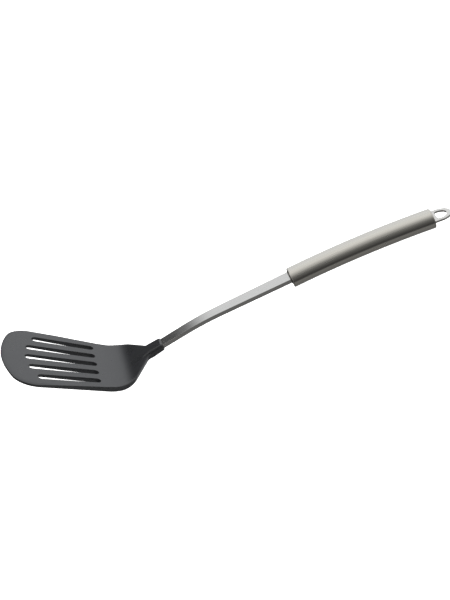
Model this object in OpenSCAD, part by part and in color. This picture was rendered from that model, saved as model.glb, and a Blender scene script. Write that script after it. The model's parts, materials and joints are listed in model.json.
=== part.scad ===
// Slotted grill spatula: moulded nylon head, flat steel bar, hollow oval steel
// handle with welded end caps and a flat hanging loop.
//
// The parts are drawn in the head's own frame: the blade's upper face is the plane
// z = 0, x runs from the blade's tip towards the handle, and y = 0 is the plane of
// symmetry. at_rest() then turns the whole tool to the pose in which it lies on a
// table, on the underside of its heel and on the rear end of its handle.

/* [Blade] */
// Radius of the rounded front edge
nose_r = 90; // [80:1:110]
// Radius of the two front corners
front_corner_r = 17; // [10:0.5:18]
// Half width of the blade, 31 mm behind its tip
half_width = 42.2; // [38:0.1:43]
// Taper of each side, in degrees
side_taper = 9.5; // [7:0.5:10]
// Thickness at the front edge
tip_t = 1.5; // [1:0.1:2]
// Thickness at the heel and in the neck
heel_t = 3.7; // [3:0.1:4.2]
// Length of the flat blade, from its tip to the start of the heel
flat_len = 76.4; // [75:0.1:80]

/* [Slots] */
// Width of a slot at its front end
slot_front_w = 6.6; // [6:0.1:7.4]
// Width of a slot at its rear end
slot_rear_w = 6.2; // [5.5:0.1:6.4]
// Distance from the tip to the front of the middle slot
slot_front_x = 17; // [16:0.1:20]
// Distance from the tip to the rear ends of all slots
slot_rear_x = 69.9; // [66:0.1:70.5]
// Radius of the curve on which the slots' front ends lie
slot_arc_r = 71; // [60:1:80]
// Spacing of the slots at the rear
slot_pitch = 13.05; // [12.8:0.05:13.2]
// How much the spacing grows for each millimetre towards the front
slot_fan = 0.047; // [0.03:0.001:0.05]

/* [Heel and neck] */
// Radius of the heel's upper face
heel_r = 27; // [24:0.5:30]
// Angle of the neck and the socket above the blade, in degrees
neck_angle = 42.6; // [42:0.1:43]
// Radius of the rear corners, seen square to the blade
rear_corner_r = 16; // [12:0.5:17]
// Angle of the neck's side edges, seen square to the blade
neck_side = 62; // [60:0.5:64]
// Half width of the neck where it enters the socket
neck_half = 6.9; // [6:0.1:7]
// Distance from the tip to that place
neck_x = 105; // [103:0.1:107]

/* [Socket] */
// Width of the socket where it leaves the neck
socket_w = 14.2; // [14:0.1:15]
// Thickness of the socket there
socket_t = 6.1; // [5.2:0.1:6.2]
// How much narrower the mouth is
mouth_w_less = 1; // [0:0.1:1.4]
// How much thinner the mouth is
mouth_t_less = 0.6; // [0:0.1:1]
// Radius of the socket's long edges
socket_edge_r = 2.2; // [1:0.1:2.5]
// Length of the socket, from the neck to its mouth
socket_len = 10.6; // [9:0.1:14]
// Chamfer round the mouth
mouth_chamfer = 1.4; // [0.5:0.1:1.6]

/* [Bar] */
// Thickness of the flat bar
bar_t = 3; // [2.5:0.1:3.5]
// Width of the bar at the mouth of the socket
bar_front_w = 10.3; // [9.5:0.1:11]
// Width of the bar at the handle
bar_rear_w = 13.7; // [13:0.1:14.5]
// Length of the straight stretch from the mouth of the socket to the bend
bar_first_len = 34.1; // [30:0.1:38]
// Length of the stretch from the bend to the handle
bar_second_len = 69.8; // [60:0.1:75]
// Angle of the second stretch above the blade, in degrees
bar_angle = 36.1; // [35.5:0.1:37]
// Radius of the bend
bar_bend_r = 240; // [150:10:300]
// Length of the tang inside the handle
tang_len = 26; // [20:1:40]
// Diameter of the two locking holes inside the socket
lock_hole_d = 4; // [3.2:0.1:4.5]

/* [Handle] */
// Angle of the handle's front end above the blade, in degrees
grip_angle = 36.6; // [36:0.1:37.2]
// How far the handle's axis lies below the middle of the bar at the front cap
grip_drop = 0.7; // [0:0.1:1]
// Width of the handle
handle_w = 20; // [19:0.1:21]
// Height of the handle
handle_h = 13.5; // [13:0.1:14]
// Wall of the tube
handle_wall = 1; // [0.8:0.1:1.2]
// Length of the tube along its curve
handle_len = 109.2; // [100:0.1:120]
// Radius of the handle's slight curve
handle_curve_r = 880; // [800:10:2000]
// Thickness of each end cap
cap_t = 1; // [0.8:0.1:2]

/* [Hanging loop] */
// Width of the loop at the cap
loop_w = 18.6; // [17:0.1:18.8]
// Thickness of the loop's plate
loop_t = 1.5; // [1:0.1:1.8]
// How far the loop's plate lies above the handle's axis
loop_rise = 0.5; // [0:0.1:2]
// How far the loop stands out behind the cap
loop_len = 14.4; // [13.5:0.1:16]
// Width of the metal around the eye
loop_rim = 3.4; // [3:0.1:4]
// Plate between the cap and the eye
loop_base = 2.8; // [1.5:0.1:3.5]

/* [Hidden] */
$fn = 96;

steel = "#b9b8b2";
nylon = "#303134";

span = 120;                       // wider than any part, for cutting shapes
fine_fn = 1440;                   // for the handle's very large radius
slot_count = 5;
socket_root = 8;                  // how far the socket's thickening reaches into the neck
bar_drop = 1.6;                   // middle of the bar below the upper face of the neck
bar_nose = 17;                    // bar hidden in the socket and the neck
lock_hole_x = [-13, -6];          // places of the locking holes, measured from the mouth
fit = 0.1;                        // clearance round the bar and the loop in their caps
weld_size = 0.8;                  // leg of a weld bead
loop_tang_w = 12;
loop_tang_len = 7;
eye_corner_r = 2;

// Slot layout, for slots numbered from the middle one
function slot_y(k, x) = k * (slot_pitch + slot_fan * (slot_rear_x - x));
function slot_start(k) =
    slot_front_x + slot_arc_r - sqrt(pow(slot_arc_r, 2) - pow(slot_y(k, slot_front_x), 2));

// Directions in the plane of symmetry, as [x, z]
function dir(angle) = [cos(angle), sin(angle)];
function up(angle) = [-sin(angle), cos(angle)];

// The line of the tool, from the heel to the tip of the loop
heel_centre = [flat_len, heel_r];
heel_end = heel_centre - heel_r * up(neck_angle);
neck_run = (neck_x - heel_end[0]) / cos(neck_angle);
socket_start = heel_end + neck_run * dir(neck_angle);
bar_mouth = socket_start + socket_len * dir(neck_angle) - bar_drop * up(neck_angle);
bend_point = bar_mouth + bar_first_len * dir(neck_angle);
bend_leg = bar_bend_r * tan((neck_angle - bar_angle) / 2);
bend_centre = bend_point - bend_leg * dir(neck_angle) - bar_bend_r * up(neck_angle);
bar_rear = bend_point + bar_second_len * dir(bar_angle);
handle_front = bar_rear - grip_drop * up(grip_angle);
tube_front = handle_front + cap_t * dir(grip_angle);
curve_centre = tube_front - handle_curve_r * up(grip_angle);
handle_angle = grip_angle - handle_len / handle_curve_r * 180 / PI;
tube_rear = curve_centre + handle_curve_r * up(handle_angle);
handle_rear = tube_rear + cap_t * dir(handle_angle);
loop_root = handle_rear + loop_rise * up(handle_angle);
loop_tip = loop_root + loop_len * dir(handle_angle);

// Resting pose: the table is the line that touches the round underside of the heel
// and the lowest corner of the rear cap
rear_corner = handle_rear - handle_h / 2 * up(handle_angle);
rest_span = rear_corner - heel_centre;
rest_tilt = atan2(rest_span[1], rest_span[0]) + asin((heel_r + heel_t) / norm(rest_span));
rest_floor = heel_centre * up(rest_tilt) - heel_r - heel_t;
rest_back = loop_tip * dir(rest_tilt);
rest_front = -tip_t * sin(rest_tilt);

module at_rest() {
    translate([-(rest_back + rest_front) / 2, 0, -rest_floor])
        rotate([0, rest_tilt, 0])
            children();
}

// Puts children at a point of the symmetry plane, with +x along the given angle
module along(point, angle) {
    translate([point[0], 0, point[1]])
        rotate([0, -angle, 0])
            children();
}

// Extrudes a side view, drawn as [x, z], equally to both sides of the symmetry plane
module side_view(width) {
    rotate([90, 0, 0])
        linear_extrude(height = width, center = true)
            children();
}

// Extrudes a section, drawn as [y, z], along +x
module section(length) {
    rotate([90, 0, 90])
        linear_extrude(height = length)
            children();
}

// Points of an arc
function arc(centre, r, from, to, n) =
    [for (i = [0:n]) let (a = from + (to - from) * i / n) centre + r * [cos(a), sin(a)]];

// One side of the blade's outline, from the tip to the socket
side_dir = [cos(side_taper), -sin(side_taper)];
side_out = [sin(side_taper), cos(side_taper)];
side_point = [31, half_width];
corner_line = side_point - front_corner_r * side_out - [nose_r, 0];
corner_b = corner_line * side_dir;
corner_c = corner_line * corner_line - pow(nose_r - front_corner_r, 2);
front_corner = corner_line + [nose_r, 0] - (corner_b + sqrt(corner_b * corner_b - corner_c)) * side_dir;
front_corner_from = atan2(front_corner[1], front_corner[0] - nose_r);
neck_dir = [cos(neck_side), -sin(neck_side)];
neck_out = [sin(neck_side), cos(neck_side)];
neck_point = [neck_x, neck_half];
rear_gap = (neck_point - side_point - rear_corner_r * (neck_out - side_out)) * neck_out;
rear_corner_plan = side_point - rear_corner_r * side_out
    + rear_gap / (side_dir * neck_out) * side_dir;

half_outline = concat(
    arc([nose_r, 0], nose_r, 180, front_corner_from, 12),
    arc(front_corner, front_corner_r, front_corner_from, 90 - side_taper, 10),
    arc(rear_corner_plan, rear_corner_r, 90 - side_taper, 90 - neck_side, 10),
    [neck_point, [neck_x + 4, neck_half]]
);

full_outline = concat(
    half_outline,
    [for (i = [len(half_outline) - 1:-1:1]) [half_outline[i][0], -half_outline[i][1]]]
);

// One drain slot, seen square to the blade
module slot_shape(k) {
    front_r = slot_front_w / 2;
    rear_r = slot_rear_w / 2;
    front = [slot_start(k) + front_r, slot_y(k, slot_start(k) + front_r)];
    rear = [slot_rear_x - rear_r, slot_y(k, slot_rear_x - rear_r)];
    translate(front)
        circle(r = front_r);
    translate(rear)
        circle(r = rear_r);
    polygon([front + [0, front_r], front - [0, front_r], rear - [0, rear_r], rear + [0, rear_r]]);
}

// Side view of the blade, the heel and the neck, as one outline. The underside runs
// straight from the front edge and touches the round of the heel.
wedge_run = heel_centre + [0, tip_t];
wedge_angle = atan2(wedge_run[1], wedge_run[0]) - asin((heel_r + heel_t) / norm(wedge_run));
neck_end = socket_start + 4 * dir(neck_angle);
blade_side = concat(
    [[0, 0], [0, -tip_t]],
    arc(heel_centre, heel_r + heel_t, wedge_angle - 90, neck_angle - 90, 20),
    [neck_end - heel_t * up(neck_angle), neck_end],
    arc(heel_centre, heel_r, neck_angle - 90, -90, 20)
);

module rounded_rect(w, t, r) {
    for (y = [r - w / 2, w / 2 - r], z = [r - t / 2, t / 2 - r])
        translate([y, z])
            circle(r = r, $fn = 48);
    square([w - 2 * r, t], center = true);
    square([w, t - 2 * r], center = true);
}

// The socket runs along the bar: x = 0 is its start, z = 0 the middle of the bar
module socket() {
    c = mouth_chamfer;
    neck_top = bar_drop;
    neck_bottom = bar_drop - heel_t;
    root_t = socket_t / 2;
    root_w = socket_w / 2;
    mouth_t = root_t - mouth_t_less / 2;
    mouth_w = root_w - mouth_w_less / 2;
    intersection() {
        translate([-socket_root, 0, 0])
            section(socket_root + socket_len)
                rounded_rect(socket_w, socket_t, socket_edge_r);
        side_view(span)
            polygon([[-socket_root, neck_top], [0, root_t], [socket_len - c, mouth_t],
                     [socket_len, mouth_t - c], [socket_len, c - mouth_t],
                     [socket_len - c, -mouth_t], [0, -root_t], [-socket_root, neck_bottom]]);
        linear_extrude(height = span, center = true)
            polygon([[-socket_root, -root_w], [0, -root_w], [socket_len - c, -mouth_w],
                     [socket_len, c - mouth_w], [socket_len, mouth_w - c],
                     [socket_len - c, mouth_w], [0, root_w], [-socket_root, root_w]]);
    }
}

module head() {
    color(nylon)
        at_rest()
            difference() {
                union() {
                    intersection() {
                        side_view(span)
                            polygon(blade_side);
                        linear_extrude(height = span, center = true)
                            polygon(full_outline);
                    }
                    along(socket_start - bar_drop * up(neck_angle), neck_angle)
                        socket();
                }
                for (k = [-(slot_count - 1) / 2:(slot_count - 1) / 2])
                    linear_extrude(height = span, center = true)
                        slot_shape(k);
                bar();
            }
}

// Side view of the bar, from the nose in the head to the end of the tang
bar_nose_end = bar_mouth - bar_nose * dir(neck_angle);
bar_tang_end = bar_rear + tang_len * dir(bar_angle);
bar_side = concat(
    [bar_nose_end + bar_t / 2 * up(neck_angle), bar_nose_end - bar_t / 2 * up(neck_angle)],
    arc(bend_centre, bar_bend_r - bar_t / 2, 90 + neck_angle, 90 + bar_angle, 6),
    [bar_tang_end - bar_t / 2 * up(bar_angle), bar_tang_end + bar_t / 2 * up(bar_angle)],
    arc(bend_centre, bar_bend_r + bar_t / 2, 90 + bar_angle, 90 + neck_angle, 6)
);

// The bar widens evenly from the socket to the handle
module bar_plan() {
    widening = (bar_rear_w - bar_front_w) / (bar_rear[0] - bar_mouth[0]);
    front_x = bar_mouth[0] - span / 4;
    front_half = (bar_front_w - widening * span / 4) / 2;
    rear_x = bar_rear[0] + span / 2;
    rear_half = bar_rear_w / 2;
    polygon([[front_x, -front_half], [bar_rear[0], -rear_half], [rear_x, -rear_half],
             [rear_x, rear_half], [bar_rear[0], rear_half], [front_x, front_half]]);
}

module bar() {
    difference() {
        intersection() {
            side_view(span)
                polygon(bar_side);
            linear_extrude(height = 2 * span)
                bar_plan();
        }
        for (x = lock_hole_x)
            along(bar_mouth, neck_angle)
                translate([x, 0, 0])
                    cylinder(d = lock_hole_d, h = 2 * bar_t, center = true, $fn = 48);
    }
}

module shaft() {
    color(steel)
        at_rest()
            bar();
}

module oval(w, h) {
    scale([w / h, 1])
        circle(d = h);
}

module handle_tube() {
    color(steel)
        at_rest()
            translate([curve_centre[0], 0, curve_centre[1]])
                rotate([90, 0, 0])
                    rotate([0, 0, 90 + handle_angle])
                        rotate_extrude(angle = grip_angle - handle_angle, $fn = fine_fn)
                            translate([handle_curve_r, 0])
                                rotate(90)
                                    difference() {
                                        oval(handle_w, handle_h, $fn = 96);
                                        oval(handle_w - 2 * handle_wall,
                                             handle_h - 2 * handle_wall, $fn = 96);
                                    }
}

// End plate of the handle, with a slot above its middle for what passes through it
module cap(slot_w, slot_t, slot_rise) {
    section(cap_t)
        difference() {
            oval(handle_w, handle_h);
            translate([0, slot_rise])
                square([slot_w + 2 * fit, slot_t + 2 * fit], center = true);
        }
}

module front_cap() {
    color(steel)
        at_rest()
            along(handle_front, grip_angle)
                cap(bar_rear_w, bar_t, grip_drop);
}

module rear_cap() {
    color(steel)
        at_rest()
            along(tube_rear, handle_angle)
                cap(loop_tang_w, loop_t, loop_rise);
}

// The eye is a half circle with a straight, round-cornered base
module eye_shape() {
    eye_r = loop_w / 2 - loop_rim;
    eye_x = loop_len - loop_w / 2;
    corner = [loop_base + eye_corner_r, eye_r - eye_corner_r];
    difference() {
        translate([eye_x, 0])
            circle(r = eye_r);
        translate([eye_x - loop_w, -loop_w / 2])
            square(loop_w);
    }
    translate([corner[0], -eye_r])
        square([eye_x - corner[0], 2 * eye_r]);
    translate([loop_base, -corner[1]])
        square([eye_corner_r, 2 * corner[1]]);
    for (side = [-1, 1])
        translate([corner[0], side * corner[1]])
            circle(r = eye_corner_r, $fn = 48);
}

module hanging_loop() {
    eye_x = loop_len - loop_w / 2;
    color(steel)
        at_rest()
            along(loop_root, handle_angle)
                linear_extrude(height = loop_t, center = true)
                    difference() {
                        union() {
                            translate([eye_x, 0])
                                circle(d = loop_w);
                            translate([0, -loop_w / 2])
                                square([eye_x, loop_w]);
                            translate([-loop_tang_len, -loop_tang_w / 2])
                                square([loop_tang_len + 1, loop_tang_w]);
                        }
                        eye_shape();
                    }
}

// Bead where the bar enters the front cap
module shaft_weld() {
    color(steel)
        at_rest()
            difference() {
                along(bar_rear, grip_angle)
                    translate([-weld_size, 0, 0])
                        section(weld_size)
                            rounded_rect(bar_rear_w + 2 * weld_size, bar_t + 2 * weld_size, weld_size);
                bar();
            }
}

// A bead on each face of the loop, where it stands on the rear cap
module loop_weld() {
    color(steel)
        at_rest()
            along(loop_root, handle_angle)
                for (side = [-1, 1])
                    translate([0, 0, side * (loop_t + weld_size) / 2])
                        section(weld_size)
                            square([loop_tang_w + 2, weld_size], center = true);
}

head();
shaft();
front_cap();
handle_tube();
rear_cap();
hanging_loop();
shaft_weld();
loop_weld();
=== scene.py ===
"""Looks of a slotted grill spatula: a moulded nylon head, a brushed flat bar, a satin oval
grip with welded end plates, and a stamped hanging loop.

Lengths are in millimetres in the blade's own frame: its upper face is z = 0, x runs from
the tip towards the grip, and y = 0 is the plane of symmetry. blade_frame() gives the move
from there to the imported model's frame, in metres.
"""
import json
import math

import bmesh
import bpy
import numpy as np
from mathutils import Matrix, Vector
from mathutils.geometry import delaunay_2d_cdt


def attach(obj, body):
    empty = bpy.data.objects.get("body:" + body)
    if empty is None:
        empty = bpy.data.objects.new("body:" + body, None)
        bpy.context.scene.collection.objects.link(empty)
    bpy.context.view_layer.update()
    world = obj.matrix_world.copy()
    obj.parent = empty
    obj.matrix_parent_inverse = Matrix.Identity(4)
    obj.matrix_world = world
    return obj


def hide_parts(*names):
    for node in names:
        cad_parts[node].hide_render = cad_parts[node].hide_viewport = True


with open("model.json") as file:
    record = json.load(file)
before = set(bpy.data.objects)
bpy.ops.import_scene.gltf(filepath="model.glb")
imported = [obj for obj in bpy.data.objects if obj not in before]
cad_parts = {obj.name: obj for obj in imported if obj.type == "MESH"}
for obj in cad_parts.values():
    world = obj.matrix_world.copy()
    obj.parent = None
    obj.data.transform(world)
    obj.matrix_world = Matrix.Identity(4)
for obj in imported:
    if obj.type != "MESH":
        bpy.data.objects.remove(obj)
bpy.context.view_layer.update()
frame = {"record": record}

MM = 0.001

# Blade
NOSE_R = 90
FRONT_CORNER_R = 17
HALF_WIDTH = 42.2
HALF_WIDTH_X = 31
SIDE_TAPER = 9.5
TIP_T = 1.5
HEEL_T = 3.7
FLAT_LEN = 76.4
BEVEL_W = 4.0
BEVEL_DEPTH = 0.35
RIM_R = 0.12
NECK_BEVEL_W = 1.6
NECK_BEVEL_DEPTH = 0.3
BEVEL_END_X = 44            # the front's eased edge fades out up to here
BEVEL_FADE = 22
NECK_BEVEL_START = 4        # the neck's fades in from this far behind the flat
NECK_BEVEL_FADE = 10
FACE_MOUNT_X = 9            # where the record's blade_face mount stands

# Drain slots
SLOT_COUNT = 5
SLOT_FRONT_W = 6.6
SLOT_REAR_W = 6.2
SLOT_FRONT_X = 17
SLOT_REAR_X = 69.9
SLOT_ARC_R = 71
SLOT_PITCH = 13.05
SLOT_FAN = 0.047

# Heel, neck and socket
HEEL_R = 27
NECK_ANGLE = 42.6
REAR_CORNER_R = 16
NECK_SIDE = 62
NECK_HALF = 6.9
NECK_X = 105
NECK_ROOT_R = 2.5
NECK_OVERLAP = 4.5
SOCKET_W = 14.2
SOCKET_T = 6.1
MOUTH_W_LESS = 1.0
MOUTH_T_LESS = 0.6
SOCKET_EDGE_R = 2.2
SOCKET_LEN = 10.6
SOCKET_ROOT = 9
ROOT_SINK = 0.15
MOUTH_R = 1.4
MOUTH_PULL = 0.85
MOUTH_GAP = 0.12
MOUTH_GAP_DEPTH = 0.9

# Bar
BAR_T = 3.0
BAR_FRONT_W = 10.3
BAR_REAR_W = 13.7
BAR_DROP = 1.6
BAR_FIRST_LEN = 34.1
BAR_SECOND_LEN = 69.8
BAR_ANGLE = 36.1
BAR_BEND_R = 240
BAR_NOSE = 16.5
BAR_TANG = 25.5
BAR_EDGE_R = 0.18

# Grip and its end plates
GRIP_ANGLE = 36.6
GRIP_DROP = 0.7
GRIP_W = 20
GRIP_H = 13.5
GRIP_WALL = 1.0
GRIP_LEN = 109.2
GRIP_CURVE_R = 880
CAP_T = 1.0
CAP_EDGE_R = 0.9
CAP_FIT = 0.1

# Hanging loop
LOOP_W = 18.6
LOOP_T = 1.5
LOOP_RISE = 0.5
LOOP_LEN = 14.4
LOOP_RIM = 3.4
LOOP_BASE = 2.8
LOOP_TANG_W = 12
LOOP_TANG_LEN = 6.5
LOOP_EDGE_R = 0.15
EYE_CORNER_R = 2.0

# Weld beads: their radius, and how far their middle line runs outside what they go round
BEAD_R = 0.475
BEAD_CORNER_R = 0.45
BEAD_LAP = 0.5
LOOP_BEAD_SIDE_LAP = 0.4


# ---- the line of the tool, as (x, z) points ----------------------------------------------

def along(angle):
    return np.array([math.cos(math.radians(angle)), math.sin(math.radians(angle))])


def across(angle):
    return np.array([-math.sin(math.radians(angle)), math.cos(math.radians(angle))])


heel_centre = np.array([FLAT_LEN, HEEL_R])
heel_end = heel_centre - HEEL_R * across(NECK_ANGLE)
neck_run = (NECK_X - heel_end[0]) / math.cos(math.radians(NECK_ANGLE))
socket_start = heel_end + neck_run * along(NECK_ANGLE) - BAR_DROP * across(NECK_ANGLE)
bar_mouth = socket_start + SOCKET_LEN * along(NECK_ANGLE)
bend_point = bar_mouth + BAR_FIRST_LEN * along(NECK_ANGLE)
bend_leg = BAR_BEND_R * math.tan(math.radians(NECK_ANGLE - BAR_ANGLE) / 2)
bend_centre = bend_point - bend_leg * along(NECK_ANGLE) - BAR_BEND_R * across(NECK_ANGLE)
bar_rear = bend_point + BAR_SECOND_LEN * along(BAR_ANGLE)
grip_front = bar_rear - GRIP_DROP * across(GRIP_ANGLE)
tube_front = grip_front + CAP_T * along(GRIP_ANGLE)
curve_centre = tube_front - GRIP_CURVE_R * across(GRIP_ANGLE)
grip_rear_angle = GRIP_ANGLE - math.degrees(GRIP_LEN / GRIP_CURVE_R)
tube_rear = curve_centre + GRIP_CURVE_R * across(grip_rear_angle)
grip_rear = tube_rear + CAP_T * along(grip_rear_angle)
loop_root = grip_rear + LOOP_RISE * across(grip_rear_angle)


def blade_frame():
    """The move from the blade's own frame, in millimetres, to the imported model's frame."""
    face = next(m for m in frame["record"]["mounts"] if m["name"] == "blade_face")
    axis = Vector(face["axis"])
    turn = Matrix.Rotation(math.atan2(axis.x, axis.z), 4, "Y")
    offset = Vector(face["pos_m"]) - turn @ Vector((FACE_MOUNT_X * MM, 0, 0))
    return Matrix.Translation(offset) @ turn @ Matrix.Scale(MM, 4)


TO_MODEL = blade_frame()


# ---- building surfaces -------------------------------------------------------------------

class Skin:
    """Points, outward directions, faces and grain coordinates of one closed surface."""

    def __init__(self):
        self.points, self.outward, self.faces, self.grain = [], [], [], []

    def add(self, points, outward, grain=None):
        start = len(self.points)
        self.points.extend(map(tuple, points))
        self.outward.extend(map(tuple, outward))
        self.grain.extend(map(tuple, points if grain is None else grain))
        return list(range(start, len(self.points)))

    def bridge(self, a, b):
        for i in range(len(a)):
            j = (i + 1) % len(a)
            self.faces.append((a[i], a[j], b[j], b[i]))

    def close(self, ring, direction):
        """Fills a ring with a fan round its middle."""
        points = np.array([self.points[i] for i in ring])
        grain = np.array([self.grain[i] for i in ring])
        middle = self.add([points.mean(0)], [direction], [grain.mean(0)])[0]
        for i in range(len(ring)):
            self.faces.append((ring[i], ring[(i + 1) % len(ring)], middle))


def finished(name, skins, material, node):
    """Makes the piece that stands for a CAD node, with its place in its mesh."""
    points, outward, faces, grain = [], [], [], []
    for skin in skins:
        start = len(points)
        points += skin.points
        outward += skin.outward
        grain += skin.grain
        faces += [tuple(start + i for i in face) for face in skin.faces]
    mesh = bpy.data.meshes.new(name)
    mesh.from_pydata([TO_MODEL @ Vector(p) for p in points], [], faces)
    outwards_only(mesh)
    mesh.shade_smooth()
    turn = TO_MODEL.to_3x3().normalized()
    mesh.normals_split_custom_set_from_vertices([(turn @ Vector(n)).normalized() for n in outward])
    field = mesh.attributes.new("grain", "FLOAT_VECTOR", "POINT")
    field.data.foreach_set("vector", (np.array(grain, float) * MM).ravel())
    return placed(name, mesh, material, node)


def outwards_only(mesh):
    work = bmesh.new()
    work.from_mesh(mesh)
    bmesh.ops.recalc_face_normals(work, faces=work.faces)
    work.to_mesh(mesh)
    work.free()


def placed(name, mesh, material, node):
    piece = bpy.data.objects.new(name, mesh)
    bpy.context.scene.collection.objects.link(piece)
    mesh.materials.clear()
    mesh.materials.append(material)
    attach(piece, "root")
    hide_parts(node)
    return piece


def arc(centre, radius, start, end, steps):
    """Points of an arc with their directions from its centre: x, y, nx, ny."""
    angles = np.radians(np.linspace(start, end, steps + 1))
    spokes = np.stack([np.cos(angles), np.sin(angles)], 1)
    return np.hstack([np.array(centre) + radius * spokes, spokes])


def straight(start, end, normal, steps):
    """Points between two points, both left out, with one direction for all."""
    shares = np.linspace(0, 1, steps + 1)[1:-1, None]
    points = np.array(start) + shares * (np.array(end) - np.array(start))
    return np.hstack([points, np.tile(normal, (len(points), 1))])


def rounded_section(half_w, top, bottom, radius, corner_steps=7, flat_steps=6):
    """Closed section as y, z, ny, nz, with the same number of points for every size."""
    right, left, over, under = half_w - radius, radius - half_w, top - radius, bottom + radius
    corners = [((right, over), 0), ((left, over), 90), ((left, under), 180), ((right, under), 270)]
    bends = [arc(c, radius, a, a + 90, corner_steps) for c, a in corners]
    rows = []
    for i, bend in enumerate(bends):
        following = bends[(i + 1) % 4]
        rows += [bend, straight(bend[-1, :2], following[0, :2], bend[-1, 2:], flat_steps)]
    return np.vstack(rows)


def put_section(section, origin, angle, lean=0.0):
    """Places a section square to a line at the given angle. lean turns its outward
    directions towards the line's end, in degrees."""
    a, u = along(angle), across(angle)
    y, z, ny, nz = section.T
    points = np.stack([origin[0] + z * u[0], y, origin[1] + z * u[1]], 1)
    c, s = math.cos(math.radians(lean)), math.sin(math.radians(lean))
    outward = np.stack([c * nz * u[0] + s * a[0], c * ny, c * nz * u[1] + s * a[1]], 1)
    return points, outward


def sideways(angle):
    """The direction straight out to one side, turned by an angle towards the grip."""
    return np.array([math.sin(math.radians(angle)), math.cos(math.radians(angle))])


def smooth(share):
    share = np.clip(share, 0, 1)
    return share * share * (3 - 2 * share)


def unit(vectors):
    return vectors / np.linalg.norm(vectors, axis=1, keepdims=True)


# ---- the moulded head --------------------------------------------------------------------

def outline_half(inset):
    """One side of the blade's outline, from its tip to the socket, moved inwards."""
    side_out = sideways(SIDE_TAPER)
    side_dir = np.array([side_out[1], -side_out[0]])
    side_point = np.array([HALF_WIDTH_X, HALF_WIDTH])
    reach = side_point - FRONT_CORNER_R * side_out - [NOSE_R, 0]
    b = reach @ side_dir
    c = reach @ reach - (NOSE_R - FRONT_CORNER_R) ** 2
    front_corner = reach + [NOSE_R, 0] - (b + math.sqrt(b * b - c)) * side_dir
    turn = math.degrees(math.atan2(front_corner[1], front_corner[0] - NOSE_R))
    neck_out = sideways(NECK_SIDE)
    neck_point = np.array([NECK_X, NECK_HALF])
    gap = (neck_point - side_point - REAR_CORNER_R * (neck_out - side_out)) @ neck_out
    rear_corner = side_point - REAR_CORNER_R * side_out + gap / (side_dir @ neck_out) * side_dir
    root_y = NECK_HALF + NECK_ROOT_R
    root_x = NECK_X + (NECK_ROOT_R - NECK_ROOT_R * neck_out[1]) / neck_out[0]
    nose = arc((NOSE_R, 0), NOSE_R - inset, 180, turn, 30)
    front = arc(front_corner, FRONT_CORNER_R - inset, turn, 90 - SIDE_TAPER, 24)
    rear = arc(rear_corner, REAR_CORNER_R - inset, 90 - SIDE_TAPER, 90 - NECK_SIDE, 18)
    root = arc((root_x, root_y), NECK_ROOT_R + inset, 270 - NECK_SIDE, 270, 6)
    root[:, 2:] *= -1
    end = np.array([[NECK_X + NECK_OVERLAP, NECK_HALF - inset, 0, 1]])
    return np.vstack([nose, front[1:], straight(front[-1, :2], rear[0, :2], side_out, 18), rear,
                      straight(rear[-1, :2], root[0, :2], neck_out, 12), root, end])


def outline(inset):
    half = outline_half(inset)
    return np.vstack([half, half[:0:-1] * [1, -1, 1, -1]])


def slot_outline(k, inset):
    """One drain slot, numbered from the middle one. Its directions point into the slot."""
    def middle(x):
        return k * (SLOT_PITCH + SLOT_FAN * (SLOT_REAR_X - x))
    start = SLOT_FRONT_X + SLOT_ARC_R - math.sqrt(SLOT_ARC_R ** 2 - middle(SLOT_FRONT_X) ** 2)
    front_x, rear_x = start + SLOT_FRONT_W / 2, SLOT_REAR_X - SLOT_REAR_W / 2
    front = arc((front_x, middle(front_x)), SLOT_FRONT_W / 2 + inset, 90, 270, 14)
    rear = arc((rear_x, middle(rear_x)), SLOT_REAR_W / 2 + inset, -90, 90, 14)
    lower = straight(front[-1, :2], rear[0, :2], (0, -1), 14)
    upper = straight(rear[-1, :2], front[0, :2], (0, 1), 14)
    loop = np.vstack([front, lower, rear, upper])
    loop[:, 2:] *= -1
    return loop


def distance_inside(x, y):
    """How far points lie inside the blade's outline."""
    edge = outline(0)[:, :2]
    step = np.roll(edge, -1, 0) - edge
    best = np.full(len(x), 1e9)
    for p, s in zip(edge, step):
        share = np.clip(((x - p[0]) * s[0] + (y - p[1]) * s[1]) / (s @ s), 0, 1)
        best = np.minimum(best, np.hypot(x - p[0] - share * s[0], y - p[1] - share * s[1]))
    return best


def upper_face(x, y):
    """Height of the blade, the heel and the neck, with front and neck edges eased down."""
    slope = math.tan(math.radians(NECK_ANGLE))
    in_heel = np.clip(x - FLAT_LEN, 0, heel_end[0] - FLAT_LEN)
    z = HEEL_R - np.sqrt(HEEL_R ** 2 - in_heel ** 2) + slope * np.maximum(x - heel_end[0], 0)
    from_edge = distance_inside(x, y)
    front = BEVEL_DEPTH * np.clip(1 - from_edge / BEVEL_W, 0, 1) ** 2
    neck = NECK_BEVEL_DEPTH * np.clip(1 - from_edge / NECK_BEVEL_W, 0, 1) ** 1.6
    at_front = smooth((BEVEL_END_X - x) / BEVEL_FADE)
    at_neck = smooth((x - FLAT_LEN - NECK_BEVEL_START) / NECK_BEVEL_FADE)
    return z - front * at_front - neck * at_neck


def lower_face(x, y):
    """Height of the underside: a wedge, the heel's round and the neck."""
    outer = HEEL_R + HEEL_T
    run = heel_centre + [0, TIP_T]
    wedge = math.atan2(run[1], run[0]) - math.asin(outer / np.hypot(*run))
    touch, leave = FLAT_LEN + outer * math.sin(wedge), outer * math.sin(math.radians(NECK_ANGLE))
    in_heel = np.clip(x - FLAT_LEN, outer * math.sin(wedge), leave)
    z = HEEL_R - np.sqrt(outer ** 2 - in_heel ** 2)
    z = z + math.tan(math.radians(NECK_ANGLE)) * np.maximum(x - FLAT_LEN - leave, 0)
    return z + math.tan(wedge) * np.minimum(x - touch, 0)


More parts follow.
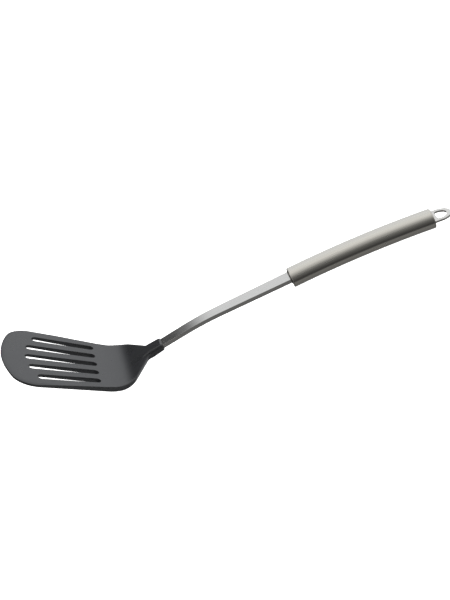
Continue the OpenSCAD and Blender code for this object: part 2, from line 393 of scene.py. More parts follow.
def facing(height, x, y, side):
    """Outward directions of a face given as a height over the blade's plane."""
    h = 0.05
    dx = (height(x + h, y) - height(x - h, y)) / (2 * h)
    dy = (height(x, y + h) - height(x, y - h)) / (2 * h)
    return unit(np.stack([-dx * side, -dy * side, np.full(len(x), float(side))], 1))


def inside(loop, x, y):
    """Which points lie inside a closed loop."""
    odd = np.zeros(len(x), bool)
    for (x0, y0), (x1, y1) in zip(loop, np.roll(loop, -1, 0)):
        crosses = (y0 > y) != (y1 > y)
        with np.errstate(divide="ignore", invalid="ignore"):
            odd ^= crosses & (x < x0 + (y - y0) * (x1 - x0) / (y1 - y0))
    return odd


def grid(x_from, x_to, x_step, y_step, margin, holes):
    """Even points over the blade, clear of its outline and its slots."""
    side = HALF_WIDTH + 2.8
    xs, ys = np.meshgrid(np.arange(x_from, x_to, x_step), np.arange(-side, side + 0.1, y_step))
    x, y = xs.ravel(), ys.ravel()
    keep = inside(outline(margin)[:, :2], x, y)
    for k in holes:
        keep &= ~inside(slot_outline(k, margin)[:, :2], x, y)
    return np.stack([x[keep], y[keep]], 1)


def contours(bevel_w, shares):
    """Points on lines that follow the outline, at shares of an eased edge's width."""
    return np.vstack([outline(RIM_R + bevel_w * share)[:, :2] for share in shares])


def blade_skin():
    """Blade, heel and neck in one skin, with eased rims round the outline and the slots."""
    slots = [k - (SLOT_COUNT - 1) / 2 for k in range(SLOT_COUNT)]
    makers = [outline] + [lambda i, k=k: slot_outline(k, i) for k in slots]
    rims = [make(RIM_R) for make in makers]
    front = contours(BEVEL_W, (0.08, 0.18, 0.3, 0.45, 0.65, 0.92))
    neck = contours(NECK_BEVEL_W, (0.12, 0.25, 0.4, 0.6, 0.85))
    # points lie close together on the heel's curve, and far apart on the flats
    inner = [front[front[:, 0] < BEVEL_END_X + 2],
             neck[(neck[:, 0] > FLAT_LEN) & (neck[:, 0] < NECK_X)],
             grid(24, FLAT_LEN, x_step=6, y_step=6, margin=5.5, holes=slots),
             grid(FLAT_LEN - 3, heel_end[0] + 2, x_step=1, y_step=3, margin=2, holes=slots),
             grid(heel_end[0] + 3, NECK_X, x_step=4, y_step=4, margin=2.2, holes=[])]
    plan = np.vstack([r[:, :2] for r in rims] + inner)
    edges, start = [], 0
    for rim in rims:
        edges += [(start + i, start + (i + 1) % len(rim)) for i in range(len(rim))]
        start += len(rim)
    solved = delaunay_2d_cdt([Vector(p) for p in plan], edges, [], 0, 1e-6)
    source = [ids[0] for ids in solved[3]]
    flat = np.array([[source[i] for i in f] for f in solved[2]])
    centre = plan[flat].mean(1)
    keep = inside(rims[0][:, :2], centre[:, 0], centre[:, 1])
    for rim in rims[1:]:
        keep &= ~inside(rim[:, :2], centre[:, 0], centre[:, 1])
    flat = flat[keep]

    skin = Skin()
    x, y = plan.T
    top = skin.add(np.stack([x, y, upper_face(x, y)], 1), facing(upper_face, x, y, 1))
    low = skin.add(np.stack([x, y, lower_face(x, y)], 1), facing(lower_face, x, y, -1))
    skin.faces += [tuple(top[i] for i in f) for f in flat]
    skin.faces += [tuple(low[i] for i in f[::-1]) for f in flat]
    start = 0
    for make, rim in zip(makers, rims):
        last_top, last_low = top[start:start + len(rim)], low[start:start + len(rim)]
        start += len(rim)
        for turn in (22.5, 45, 67.5, 90):
            c, s = math.cos(math.radians(turn)), math.sin(math.radians(turn))
            row = make(RIM_R * (1 - s))
            x, y = row[:, 0], row[:, 1]
            wall = np.stack([row[:, 2], row[:, 3], np.zeros(len(row))], 1)
            upper = np.stack([x, y, upper_face(x, y) - RIM_R * (1 - c)], 1)
            lower = np.stack([x, y, lower_face(x, y) + RIM_R * (1 - c)], 1)
            next_top = skin.add(upper, unit(c * facing(upper_face, x, y, 1) + s * wall))
            next_low = skin.add(lower, unit(c * facing(lower_face, x, y, -1) + s * wall))
            skin.bridge(last_top, next_top)
            skin.bridge(next_low, last_low)
            last_top, last_low = next_top, next_low
        skin.bridge(last_top, last_low)
    return skin


def socket_skin():
    """The socket: it grows out of the neck, tapers a little and ends in a rounded mouth."""
    skin = Skin()
    rings = []
    a = along(NECK_ANGLE)

    def ring(section, run, lean=0.0):
        rings.append(skin.add(*put_section(section, socket_start + run * a, NECK_ANGLE, lean)))

    body_end = SOCKET_LEN - MOUTH_R
    for run in np.linspace(-SOCKET_ROOT, body_end, 22):
        swell = smooth((run + SOCKET_ROOT) / (SOCKET_ROOT + 1))
        taper = max(run, 0) / SOCKET_LEN
        full, less = swell * SOCKET_T / 2, taper * MOUTH_T_LESS / 2
        top = (1 - swell) * (BAR_DROP - ROOT_SINK) + full - less
        bottom = (1 - swell) * (HEEL_T - BAR_DROP - ROOT_SINK) + full - less
        ring(rounded_section(SOCKET_W / 2 - taper * MOUTH_W_LESS / 2, top, -bottom,
                             min(SOCKET_EDGE_R, 0.45 * (top + bottom))), run)
    half_w, half_t = (SOCKET_W - MOUTH_W_LESS) / 2, (SOCKET_T - MOUTH_T_LESS) / 2
    for lean in (15, 30, 45, 60, 75, 90):
        s = math.sin(math.radians(lean))
        cut = MOUTH_R * (1 - math.cos(math.radians(lean))) * MOUTH_PULL
        ring(rounded_section(half_w - cut, half_t - cut, cut - half_t,
                             max(SOCKET_EDGE_R - cut, 0.5)), body_end + MOUTH_R * s, lean)
    # a narrow gap round the bar, with a small chamfer at its rim
    for gap, depth, lean in ((0.2, 0, 90), (MOUTH_GAP, 0.1, 180),
                             (MOUTH_GAP, MOUTH_GAP_DEPTH, 180)):
        half_gap_t = BAR_T / 2 + gap
        ring(rounded_section(BAR_FRONT_W / 2 + gap, half_gap_t, -half_gap_t, 0.4),
             SOCKET_LEN - depth, lean)
    for one, following in zip(rings, rings[1:]):
        skin.bridge(one, following)
    skin.close(rings[-1], (a[0], 0, a[1]))
    skin.close(rings[0], (-a[0], 0, -a[1]))
    return skin


# ---- the steel bar -----------------------------------------------------------------------

def bar_stations():
    """Places along the bar's middle line, as a point and an angle."""
    nose = bar_mouth - BAR_NOSE * along(NECK_ANGLE)
    tang = bar_rear + BAR_TANG * along(BAR_ANGLE)
    bend = [(bend_centre + BAR_BEND_R * across(angle), angle)
            for angle in np.linspace(NECK_ANGLE, BAR_ANGLE, 13)]
    bend_start, bend_end = bend[0][0], bend[-1][0]
    first = [(nose + share * (bend_start - nose), NECK_ANGLE)
             for share in np.linspace(0, 1, 13)[:-1]]
    second = [(bend_end + share * (tang - bend_end), BAR_ANGLE)
              for share in np.linspace(0, 1, 25)[1:]]
    return first + bend + second


def bar_skin():
    """The bar, widening towards the grip. Its grain coordinates run along its length."""
    skin = Skin()
    rings, run, last = [], 0.0, None
    widening = (BAR_REAR_W - BAR_FRONT_W) / (bar_rear[0] - bar_mouth[0])
    for point, angle in bar_stations():
        run += 0 if last is None else float(np.hypot(*(point - last)))
        last = point
        width = min(BAR_FRONT_W + widening * (point[0] - bar_mouth[0]), BAR_REAR_W)
        section = rounded_section(width / 2, BAR_T / 2, -BAR_T / 2, BAR_EDGE_R, 5, 4)
        points, outward = put_section(section, point, angle)
        grain = np.stack([np.full(len(section), run), section[:, 0], section[:, 1]], 1)
        rings.append(skin.add(points, outward, grain))
    for a, b in zip(rings, rings[1:]):
        skin.bridge(a, b)
    front, rear = along(NECK_ANGLE), along(BAR_ANGLE)
    skin.close(rings[0], (-front[0], 0, -front[1]))
    skin.close(rings[-1], (rear[0], 0, rear[1]))
    return skin


# ---- end plates and hanging loop ---------------------------------------------------------

def oval(inset, count):
    """The grip's oval, moved inwards, as y, z, ny, nz."""
    angles = np.linspace(0, 2 * math.pi, count, endpoint=False)
    a, b = GRIP_W / 2, GRIP_H / 2
    points = np.stack([a * np.cos(angles), b * np.sin(angles)], 1)
    normals = unit(np.stack([b * np.cos(angles), a * np.sin(angles)], 1))
    return np.hstack([points - inset * normals, normals])


def seen_from(centre, polygon, directions):
    """Where rays from a centre leave a closed outline."""
    hits = []
    following = np.roll(polygon, -1, 0)
    for d in directions:
        side = following - polygon
        cross = d[0] * side[:, 1] - d[1] * side[:, 0]
        rel = polygon - centre
        with np.errstate(divide="ignore", invalid="ignore"):
            far = (rel[:, 0] * side[:, 1] - rel[:, 1] * side[:, 0]) / cross
            share = (rel[:, 0] * d[1] - rel[:, 1] * d[0]) / cross
        good = (far > 0) & (share >= -1e-9) & (share <= 1 + 1e-9)
        hits.append(centre + far[good].max() * d)
    return np.array(hits)


def cap_skin(origin, angle, slot_w, slot_t, slot_rise, outer):
    """An end plate round a slot. outer is 1 where its outer face looks along the line, and
    -1 where it looks back."""
    skin = Skin()
    count = 128
    a = along(angle) * outer
    directions = oval(0, count)[:, :2]
    y, z = slot_w / 2 + CAP_FIT, slot_t / 2 + CAP_FIT
    corners = np.array([[y, z], [-y, z], [-y, -z], [y, -z]])
    centre = np.array([0, slot_rise])
    slot = seen_from(centre, corners + centre, unit(directions - centre))
    slot = np.hstack([slot, -unit(slot - centre)])

    def ring(section, depth, lean):
        points, outward = put_section(section, origin + depth * a, angle, lean * outer)
        return skin.add(points, outward)

    rings = [ring(slot, 0, -90), ring(oval(0.1, count), 0, -90),
             ring(oval(0.03, count), 0.03, -45), ring(oval(0, count), 0.1, 0)]
    for lean in (0, 15, 30, 45, 60, 75, 90):
        c, s = math.cos(math.radians(lean)), math.sin(math.radians(lean))
        depth = CAP_T - CAP_EDGE_R * (1 - s)
        rings.append(ring(oval(CAP_EDGE_R * (1 - c), count), depth, lean))
    rings += [ring(slot, CAP_T, 90), ring(slot, CAP_T - 0.02, 0)]
    for a_ring, b_ring in zip(rings, rings[1:] + rings[:1]):
        skin.bridge(a_ring, b_ring)
    return skin


def loop_outlines(count):
    """The loop's outline and its eye, as seen square to its plate: x, y, nx, ny."""
    half = LOOP_W / 2
    eye_x = LOOP_LEN - half
    eye_r = half - LOOP_RIM
    centre = np.array([eye_x + 0.3, 0])
    tang = np.array([[0, -half], [0, -LOOP_TANG_W / 2], [-LOOP_TANG_LEN, -LOOP_TANG_W / 2],
                     [-LOOP_TANG_LEN, LOOP_TANG_W / 2], [0, LOOP_TANG_W / 2], [0, half]])
    outer = np.vstack([arc((eye_x, 0), half, 90, -90, 72)[:, :2], tang])
    corner = (LOOP_BASE + EYE_CORNER_R, eye_r - EYE_CORNER_R)
    eye = np.vstack([arc((eye_x, 0), eye_r, 90, -90, 60)[:, :2],
                     arc((corner[0], -corner[1]), EYE_CORNER_R, -90, -180, 10)[:, :2],
                     arc(corner, EYE_CORNER_R, 180, 90, 10)[:, :2]])
    angles = np.linspace(0, 2 * math.pi, count, endpoint=False)
    rays = np.stack([np.cos(angles), np.sin(angles)], 1)
    made = []
    for polygon in (outer, eye):
        points = seen_from(centre, polygon, rays)
        run = np.roll(points, -1, 0) - np.roll(points, 1, 0)
        made.append(np.hstack([points, unit(np.stack([run[:, 1], -run[:, 0]], 1))]))
    made[1][:, 2:] *= -1
    return made


def loop_skin():
    """The stamped loop: a plate with a rounded edge all round and another round its eye."""
    skin = Skin()
    outer, eye = loop_outlines(192)
    a, u = along(grip_rear_angle), across(grip_rear_angle)
    rings = []
    turns = [0, 18, 36, 54, 72, 90]
    cuts = [(1, t) for t in turns] + [(-1, t) for t in turns[::-1]]
    for edge, order in ((outer, cuts), (eye, cuts[::-1])):
        for side, turn in order:
            c, s = math.cos(math.radians(turn)), math.sin(math.radians(turn))
            xy = edge[:, :2] - LOOP_EDGE_R * (1 - s) * edge[:, 2:]
            z = side * (LOOP_T / 2 - LOOP_EDGE_R * (1 - c))
            points = np.stack([loop_root[0] + xy[:, 0] * a[0] + z * u[0], xy[:, 1],
                               loop_root[1] + xy[:, 0] * a[1] + z * u[1]], 1)
            flat, lift = s * edge[:, 2:], side * c
            outward = np.stack([flat[:, 0] * a[0] + lift * u[0], flat[:, 1],
                                flat[:, 0] * a[1] + lift * u[1]], 1)
            rings.append(skin.add(points, outward))
    for a_ring, b_ring in zip(rings, rings[1:] + rings[:1]):
        skin.bridge(a_ring, b_ring)
    return skin


# ---- node building -----------------------------------------------------------------------

def feed(tree, node, inputs):
    """Gives a node its inputs. Each is a value, or a socket to link from."""
    for key, value in dict(inputs).items():
        if isinstance(value, bpy.types.NodeSocket):
            tree.links.new(value, node.inputs[key])
        else:
            node.inputs[key].default_value = value


def add(tree, kind, inputs=(), **settings):
    """Adds a node with its settings and its inputs."""
    node = tree.nodes.new(kind)
    for name, value in settings.items():
        setattr(node, name, value)
    feed(tree, node, inputs)
    return node


def given_inputs(tree, sizes, counts):
    """Names a geometry tree's sizes, counts and finish, and returns their sockets."""
    for kind, names in (("Float", sizes), ("Int", counts), ("Material", ("Finish",))):
        for name in names:
            tree.interface.new_socket(name, in_out="INPUT", socket_type="NodeSocket" + kind)
    tree.interface.new_socket("Geometry", in_out="OUTPUT", socket_type="NodeSocketGeometry")
    return add(tree, "NodeGroupInput").outputs


def give_back(tree, geometry, finish):
    """Ends a geometry tree with real faces in their finish."""
    real = add(tree, "GeometryNodeRealizeInstances", {"Geometry": geometry})
    done = add(tree, "GeometryNodeSetMaterial", {"Geometry": real.outputs[0], "Material": finish})
    add(tree, "NodeGroupOutput", {"Geometry": done.outputs[0]})


def swept_tree():
    """A section swept along a slightly curved line."""
    tree = bpy.data.node_groups.new("swept_tube", "GeometryNodeTree")
    given = given_inputs(tree, ("Curve radius", "Start", "Sweep", "Width", "Height"),
                         ("Stations", "Sides"))
    path = add(tree, "GeometryNodeCurveArc", {
        "Resolution": given["Stations"], "Radius": given["Curve radius"],
        "Start Angle": given["Start"], "Sweep Angle": given["Sweep"]})
    ring = add(tree, "GeometryNodeCurvePrimitiveCircle", {
        "Resolution": given["Sides"], "Radius": 0.5})
    size = add(tree, "ShaderNodeCombineXYZ", {"X": given["Height"], "Y": given["Width"], "Z": 1.0})
    section = add(tree, "GeometryNodeTransform", {
        "Geometry": ring.outputs[0], "Scale": size.outputs[0]})
    swept = add(tree, "GeometryNodeCurveToMesh", {
        "Curve": path.outputs[0], "Profile Curve": section.outputs[0]})
    give_back(tree, swept.outputs[0], given["Finish"])
    return tree


def bead_tree():
    """Weld ripples laid round a rounded rectangle."""
    tree = bpy.data.node_groups.new("weld_ripples", "GeometryNodeTree")
    given = given_inputs(tree, ("Width", "Height", "Corner", "Bead"), ("Ripples", "Seed"))
    path = add(tree, "GeometryNodeCurvePrimitiveQuadrilateral", {
        "Width": given["Width"], "Height": given["Height"]})
    eased = add(tree, "GeometryNodeFilletCurve", {
        "Curve": path.outputs[0], "Radius": given["Corner"], "Count": 6}, mode="POLY")
    places = add(tree, "GeometryNodeCurveToPoints", {
        "Curve": eased.outputs[0], "Count": given["Ripples"]})
    ripple = add(tree, "GeometryNodeMeshIcoSphere", {"Radius": given["Bead"], "Subdivisions": 2})
    size = add(tree, "FunctionNodeRandomValue", {
        0: (0.92, 0.92, 0.86), 1: (1.08, 1.08, 1.06), "Seed": given["Seed"]},
        data_type="FLOAT_VECTOR")
    laid = add(tree, "GeometryNodeInstanceOnPoints", {
        "Points": places.outputs["Points"], "Instance": ripple.outputs["Mesh"],
        "Rotation": places.outputs["Rotation"], "Scale": size.outputs[0]})
    give_back(tree, laid.outputs[0], given["Finish"])
    return tree


def grown(tree, values, wall=0):
    """The plain mesh that a node tree makes from named input values. A wall turns a shell
    into a solid by growing inwards."""
    seed_mesh = bpy.data.objects.new("seed", bpy.data.meshes.new("seed"))
    bpy.context.scene.collection.objects.link(seed_mesh)
    modifier = seed_mesh.modifiers.new("shape", "NODES")
    modifier.node_group = tree
    for item in tree.interface.items_tree:
        if item.item_type == "SOCKET" and item.in_out == "INPUT":
            modifier[item.identifier] = values[item.name]
    if wall:
        solid = seed_mesh.modifiers.new("wall", "SOLIDIFY")
        solid.thickness, solid.offset, solid.use_even_offset = wall, -1.0, True
    shown = seed_mesh.evaluated_get(bpy.context.evaluated_depsgraph_get())
    mesh = bpy.data.meshes.new_from_object(shown)
    bpy.data.objects.remove(seed_mesh)
    return mesh


# ---- finishes ----------------------------------------------------------------------------

NOISE_LOW, NOISE_HIGH = 0.3, 0.7


def colour(code):
    """Linear colour of an sRGB hex value."""
    parts = [int(code[i:i + 2], 16) / 255 for i in (1, 3, 5)]
    return [p / 12.92 if p <= 0.04045 else ((p + 0.055) / 1.055) ** 2.4 for p in parts] + [1.0]


def surface(name, **shader):
    """A material with its shader, ready for the nodes of its finish."""
    material = bpy.data.materials.new(name)
    material.use_nodes = True
    tree = material.node_tree
    tree.nodes.clear()
    bsdf = add(tree, "ShaderNodeBsdfPrincipled", {
        name.replace("_", " "): value for name, value in shader.items()})
    add(tree, "ShaderNodeOutputMaterial", {"Surface": bsdf.outputs[0]})
    return material, tree, bsdf


def set_tones(ramp, dark, light):
    """Sets a colour ramp's two ends to the range that a noise mostly keeps to."""
    low, high = ramp.color_ramp.elements
    low.position, low.color = NOISE_LOW, colour(dark)
    high.position, high.color = NOISE_HIGH, colour(light)


def moulded_nylon():
    """Glass-filled nylon 66, injection moulded in a finely eroded mould: near black, with a
    broad satin sheen, fine grain, and paler glass fibre just under the skin."""
    material, tree, bsdf = surface("moulded_nylon", Metallic=0.0, IOR=1.53)
    place = add(tree, "ShaderNodeTexCoord").outputs["Object"]
    # the mould's grain is about 0.1 mm; it is drawn at 0.45 mm so that it shows
    grain = add(tree, "ShaderNodeTexNoise", {
        "Vector": place, "Scale": 2200.0, "Detail": 3.0, "Roughness": 0.6})
    # the melt's flow leaves faint patches about 15 mm wide
    flow = add(tree, "ShaderNodeTexNoise", {
        "Vector": place, "Scale": 65.0, "Detail": 2.0, "Distortion": 0.6})
    tone = add(tree, "ShaderNodeValToRGB", {"Fac": flow.outputs["Fac"]})
    set_tones(tone, "#1a1b1d", "#212224")
    fibre = add(tree, "ShaderNodeMix", {
        0: grain.outputs["Fac"], 6: tone.outputs["Color"], 7: colour("#292a2c")}, data_type="RGBA")
    rough = add(tree, "ShaderNodeMapRange", {
        "Value": flow.outputs["Fac"], "From Min": NOISE_LOW, "From Max": NOISE_HIGH,
        "To Min": 0.26, "To Max": 0.31})
    bump = add(tree, "ShaderNodeBump", {
        "Height": grain.outputs["Fac"], "Strength": 0.12, "Distance": 0.1 * MM})
    feed(tree, bsdf, {"Base Color": fibre.outputs[2], "Roughness": rough.outputs["Result"],
                      "Normal": bump.outputs["Normal"]})
    return material


def brushed(name, dark, light, rough, across_mm, along_mm, strength):
    """Stainless steel with fine lines along the piece."""
    material, tree, bsdf = surface(name, Metallic=1.0)
    place = add(tree, "ShaderNodeAttribute", attribute_name="grain").outputs["Vector"]
    # real lines are about 0.05 mm apart; they are drawn across_mm apart so that they show
    lines_at = add(tree, "ShaderNodeMapping", {"Vector": place, "Scale": (
        1000 / along_mm, 1000 / across_mm, 1000 / across_mm)})
    lines = add(tree, "ShaderNodeTexNoise", {
        "Vector": lines_at.outputs["Vector"], "Scale": 1.0, "Detail": 4.0, "Roughness": 0.65})
    patches = add(tree, "ShaderNodeTexNoise", {"Vector": place, "Scale": 90.0, "Detail": 2.0})
    tone = add(tree, "ShaderNodeValToRGB", {"Fac": lines.outputs["Fac"]})
    set_tones(tone, dark, light)
    mixed = add(tree, "ShaderNodeMath", {
        0: lines.outputs["Fac"], 1: patches.outputs["Fac"]}, operation="ADD")
    spread = add(tree, "ShaderNodeMapRange", {
        "Value": mixed.outputs[0], "From Min": 2 * NOISE_LOW, "From Max": 2 * NOISE_HIGH,
        "To Min": rough - 0.05, "To Max": rough + 0.05})
    bump = add(tree, "ShaderNodeBump", {
        "Height": lines.outputs["Fac"], "Strength": strength, "Distance": 0.04 * MM})
    feed(tree, bsdf, {"Base Color": tone.outputs["Color"], "Roughness": spread.outputs["Result"],
                      "Normal": bump.outputs["Normal"]})
    return material


def brushed_bar():
    """Stainless steel 304 strip, belt brushed lengthwise: pale grey, with straight fine
    lines that stretch highlights across the bar."""
    return brushed("belt_brushed_steel", "#c3c2bf", "#d4d3d0", rough=0.2,
                   across_mm=0.35, along_mm=28, strength=0.25)


def satin_tube():
    """Stainless steel 304 tube, satin ground on a soft wheel: soft, slightly warm sheen
    with faint lines along the grip."""
    return brushed("satin_ground_steel", "#cbc8c0", "#d8d5cd", rough=0.24,
                   across_mm=0.5, along_mm=40, strength=0.12)


def satin_cap():
    """Stainless steel 304 sheet, ground flush with the tube after welding."""
    return brushed("ground_cap_steel", "#c4c1ba", "#d0cdc6", rough=0.32,
                   across_mm=0.4, along_mm=9, strength=0.15)


def tumbled_loop():
    """Stainless steel 304, stamped and tumbled with ceramic chips: bright, softly dimpled,
    with no direction in it."""
    material, tree, bsdf = surface("tumbled_steel", Metallic=1.0)
    place = add(tree, "ShaderNodeTexCoord").outputs["Object"]
    # the chips leave dimples of about 0.3 mm; they are drawn at 0.9 mm so that they show
    dimples = add(tree, "ShaderNodeTexVoronoi", {
        "Vector": place, "Scale": 1100.0, "Randomness": 1.0}, feature="SMOOTH_F1")
    haze = add(tree, "ShaderNodeTexNoise", {"Vector": place, "Scale": 320.0, "Detail": 3.0})
    tone = add(tree, "ShaderNodeValToRGB", {"Fac": haze.outputs["Fac"]})
    set_tones(tone, "#d2d0cb", "#dedcd8")
    spread = add(tree, "ShaderNodeMapRange", {
        "Value": haze.outputs["Fac"], "From Min": NOISE_LOW, "From Max": NOISE_HIGH,
        "To Min": 0.2, "To Max": 0.28})
    bump = add(tree, "ShaderNodeBump", {
        "Height": dimples.outputs["Distance"], "Strength": 0.15, "Distance": 0.05 * MM})
    feed(tree, bsdf, {"Base Color": tone.outputs["Color"], "Roughness": spread.outputs["Result"],
                      "Normal": bump.outputs["Normal"]})
    return material


def weld_metal():
    """Fused stainless steel, cleaned and left unground: greyer and duller than the strip,
    with a faint straw tint beside it."""
    material, tree, bsdf = surface("fused_steel", Metallic=1.0)
    place = add(tree, "ShaderNodeTexCoord").outputs["Object"]
    scale = add(tree, "ShaderNodeTexNoise", {"Vector": place, "Scale": 900.0, "Detail": 4.0})
    tone = add(tree, "ShaderNodeValToRGB", {"Fac": scale.outputs["Fac"]})
    set_tones(tone, "#8f8b84", "#b4afa4")
    spread = add(tree, "ShaderNodeMapRange", {
        "Value": scale.outputs["Fac"], "From Min": NOISE_LOW, "From Max": NOISE_HIGH,
        "To Min": 0.34, "To Max": 0.5})
    bump = add(tree, "ShaderNodeBump", {
        "Height": scale.outputs["Fac"], "Strength": 0.2, "Distance": 0.1 * MM})
    feed(tree, bsdf, {"Base Color": tone.outputs["Color"], "Roughness": spread.outputs["Result"],
                      "Normal": bump.outputs["Normal"]})
    return material


# ---- the pieces --------------------------------------------------------------------------

def make_grip(material):
    """The tube: an oval swept along a slight curve, then given its wall."""
    mesh = grown(swept_tree(), {
        "Curve radius": GRIP_CURVE_R, "Start": math.radians(90 + grip_rear_angle),
        "Sweep": math.radians(GRIP_ANGLE - grip_rear_angle), "Width": GRIP_W, "Height": GRIP_H,
        "Stations": 64, "Sides": 128, "Finish": material}, wall=GRIP_WALL)
    mesh.transform(Matrix.Rotation(math.radians(90), 4, "X"))
    mesh.transform(Matrix.Translation((curve_centre[0], 0, curve_centre[1])))
    co = np.array([v.co for v in mesh.vertices])
    radial = co[:, [0, 2]] - curve_centre
    reach = np.hypot(*radial.T)
    run = GRIP_CURVE_R * (math.radians(90 + GRIP_ANGLE) - np.arctan2(radial[:, 1], radial[:, 0]))
    grain = np.stack([run, co[:, 1], reach - GRIP_CURVE_R], 1) * MM
    mesh.transform(TO_MODEL)
    outwards_only(mesh)
    mesh.shade_smooth()
    mesh.set_sharp_from_angle(angle=math.radians(50))
    field = mesh.attributes.new("grain", "FLOAT_VECTOR", "POINT")
    field.data.foreach_set("vector", grain.ravel())
    return placed("grip_tube", mesh, material, "handle_tube")


def make_weld(name, node, material, width, height, ripples, origin, angle, seed):
    """A ring of ripples that stands on an end plate, around what passes through it."""
    mesh = grown(bead_tree(), {
        "Width": width, "Height": height, "Corner": BEAD_CORNER_R, "Bead": BEAD_R,
        "Ripples": ripples, "Seed": seed, "Finish": material})
    a, u = along(angle), across(angle)
    put = Matrix(((0, u[0], a[0], origin[0]), (1, 0, 0, 0),
                  (0, u[1], a[1], origin[1]), (0, 0, 0, 1)))
    mesh.transform(TO_MODEL @ put)
    outwards_only(mesh)
    mesh.shade_smooth()
    return placed(name, mesh, material, node)


def make_pieces():
    nylon, bar, tube, cap = moulded_nylon(), brushed_bar(), satin_tube(), satin_cap()
    finished("slotted_head", [blade_skin(), socket_skin()], nylon, "head")
    finished("flat_bar", [bar_skin()], bar, "shaft")
    make_grip(tube)
    front_plate = cap_skin(tube_front, GRIP_ANGLE, BAR_REAR_W, BAR_T, GRIP_DROP, -1)
    rear_plate = cap_skin(tube_rear, grip_rear_angle, LOOP_TANG_W, LOOP_T, LOOP_RISE, 1)
    finished("front_end_plate", [front_plate], cap, "front_cap")
    finished("rear_end_plate", [rear_plate], cap, "rear_cap")
    finished("hanging_eye", [loop_skin()], tumbled_loop(), "hanging_loop")
    fused = weld_metal()
    make_weld("bar_weld", "shaft_weld", fused, BAR_REAR_W + BEAD_LAP, BAR_T + BEAD_LAP,
              ripples=84, origin=bar_rear, angle=GRIP_ANGLE, seed=3)
    make_weld("loop_root_weld", "loop_weld", fused, LOOP_TANG_W + LOOP_BEAD_SIDE_LAP,
              LOOP_T + BEAD_LAP, ripples=70, origin=loop_root, angle=grip_rear_angle, seed=5)


# ---- studio ------------------------------------------------------------------------------

def make_floor():
    """A plain pale table, lit bright and even."""
    half = 3
    mesh = bpy.data.meshes.new("table")
    mesh.from_pydata([(-half, -half, 0), (half, -half, 0), (half, half, 0), (-half, half, 0)], [],
                     [(0, 1, 2, 3)])
    material, tree, bsdf = surface("pale_table", Roughness=1.0, Specular_IOR_Level=0.0,
                                   Emission_Color=colour("#ffffff"), Emission_Strength=0.9)
    place = add(tree, "ShaderNodeTexCoord").outputs["Object"]
    paper = add(tree, "ShaderNodeTexNoise", {"Vector": place, "Scale": 400.0})
    tone = add(tree, "ShaderNodeValToRGB", {"Fac": paper.outputs["Fac"]})
    low, high = tone.color_ramp.elements
    low.color, high.color = colour("#efefee"), colour("#f4f4f3")
    feed(tree, bsdf, {"Base Color": tone.outputs["Color"]})
    mesh.materials.append(material)
    table = bpy.data.objects.new("table", mesh)
    bpy.context.scene.collection.objects.link(table)
    table.visible_glossy = False


def make_panel():
    """A tall soft panel behind the tool, which fades out to the left."""
    mesh = bpy.data.meshes.new("soft_panel")
    left, right, back, low, high = -1.2, 0.9, 0.4, -0.4, 0.55
    mesh.from_pydata([(left, back, low), (right, back, low), (right, back, high),
                      (left, back, high)], [], [(0, 1, 2, 3)])
    material = bpy.data.materials.new("soft_panel")
    material.use_nodes = True
    tree = material.node_tree
    tree.nodes.clear()
    place = add(tree, "ShaderNodeTexCoord").outputs["Object"]
    parts = add(tree, "ShaderNodeSeparateXYZ", {0: place}).outputs
    fade = add(tree, "ShaderNodeMapRange", {
        "Value": parts["X"], "From Min": -0.135, "From Max": -0.05, "To Min": 0.04, "To Max": 1.0},
        interpolation_type="SMOOTHSTEP")
    rise = add(tree, "ShaderNodeMapRange", {
        "Value": parts["Z"], "From Min": 0.08, "From Max": 0.2, "To Min": 0.85, "To Max": 1.0},
        interpolation_type="SMOOTHSTEP")
    level = add(tree, "ShaderNodeMath", {
        0: fade.outputs["Result"], 1: rise.outputs["Result"]}, operation="MULTIPLY")
    glow = add(tree, "ShaderNodeEmission", {
        "Color": colour("#fafcff"), "Strength": level.outputs[0]})
    add(tree, "ShaderNodeOutputMaterial", {"Surface": glow.outputs[0]})
    mesh.materials.append(material)
    panel = bpy.data.objects.new("soft_panel", mesh)
    bpy.context.scene.collection.objects.link(panel)
    panel.visible_camera = panel.visible_diffuse = panel.visible_shadow = False


# Brightness of the studio by the angle from overhead, in degrees. Behind the tool is
# negative, in front of it is positive, and 180 is straight down.
STUDIO_LEVELS = [
    (-180, 0.18), (-150, 0.17), (-125, 0.3), (-108, 0.6), (-87, 0.7), (-63, 0.76), (-40, 1.15),
    (-21, 0.95), (0, 0.62), (21, 0.24), (46, 0.13), (75, 0.08), (94, 0.035), (108, 0.07),
    (120, 0.26), (140, 0.2), (180, 0.18)]


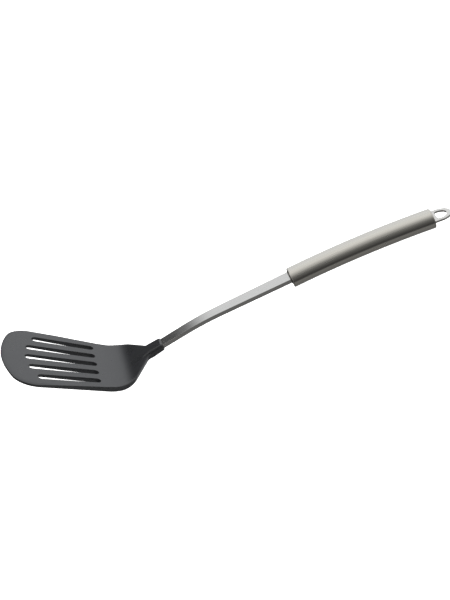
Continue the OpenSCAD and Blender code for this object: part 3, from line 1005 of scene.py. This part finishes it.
def make_world():
    """A studio that is bright above and behind, dark in front at table height, and dim to
    the left."""
    world = bpy.data.worlds.new("studio")
    bpy.context.scene.world = world
    world.use_nodes = True
    tree = world.node_tree
    tree.nodes.clear()
    place = add(tree, "ShaderNodeTexCoord").outputs["Generated"]
    parts = add(tree, "ShaderNodeSeparateXYZ", {0: place}).outputs
    front = add(tree, "ShaderNodeMath", {0: parts["Y"], 1: -1.0}, operation="MULTIPLY")
    angle = add(tree, "ShaderNodeMath", {0: front.outputs[0], 1: parts["Z"]}, operation="ARCTAN2")
    share = add(tree, "ShaderNodeMapRange", {
        "Value": angle.outputs[0], "From Min": -math.pi, "From Max": math.pi})
    ramp = add(tree, "ShaderNodeValToRGB", {"Fac": share.outputs["Result"]})
    ramp.color_ramp.interpolation = "B_SPLINE"
    elements = ramp.color_ramp.elements
    while len(elements) < len(STUDIO_LEVELS):
        elements.new(0.5)
    for element, (degrees, level) in zip(elements, STUDIO_LEVELS):
        element.position = (degrees + 180) / 360
        element.color = (level, level, level, 1)
    left = add(tree, "ShaderNodeMapRange", {
        "Value": parts["X"], "From Min": -0.9, "From Max": -0.5, "To Min": 0.06, "To Max": 1.0},
        interpolation_type="SMOOTHSTEP")
    glow = add(tree, "ShaderNodeBackground", {
        "Color": ramp.outputs["Color"], "Strength": left.outputs["Result"]})
    add(tree, "ShaderNodeOutputWorld", {"Surface": glow.outputs[0]})


def make_key():
    """A wide overhead light, without shadows, for the table and the colour of the nylon."""
    light = bpy.data.lights.new("overhead", "AREA")
    light.shape, light.size, light.energy = "DISK", 2.4, 36
    key = bpy.data.objects.new("overhead", light)
    key.location = (0, 0.2, 1.9)
    bpy.context.scene.collection.objects.link(key)
    key.visible_glossy = key.visible_camera = False
    light.use_shadow = False


def make_camera():
    """Looks down at the tool from its near side, rolled so that the grip rises."""
    turn, down, roll = math.radians(1.11), math.radians(26.62), math.radians(-25.14)
    distance = 1.2575
    forward = Vector((-math.sin(turn) * math.cos(down), math.cos(turn) * math.cos(down),
                      -math.sin(down)))
    level = forward.cross(Vector((0, 0, 1))).normalized()
    rise = level.cross(forward)
    right = math.cos(roll) * level + math.sin(roll) * rise
    up = math.cos(roll) * rise - math.sin(roll) * level
    axes = Matrix((right, up, -forward)).transposed().to_4x4()
    aim = Vector((-6.7, -1.55, 17.2)) * MM
    lens = bpy.data.cameras.new("camera")
    lens.sensor_width, lens.lens = 36, 105
    camera = bpy.data.objects.new("camera", lens)
    camera.matrix_world = Matrix.Translation(aim - forward * distance) @ axes
    bpy.context.scene.collection.objects.link(camera)
    bpy.context.scene.camera = camera


make_pieces()
make_floor()
make_panel()
make_world()
make_key()
make_camera()
bpy.context.scene.view_settings.view_transform = "Standard"
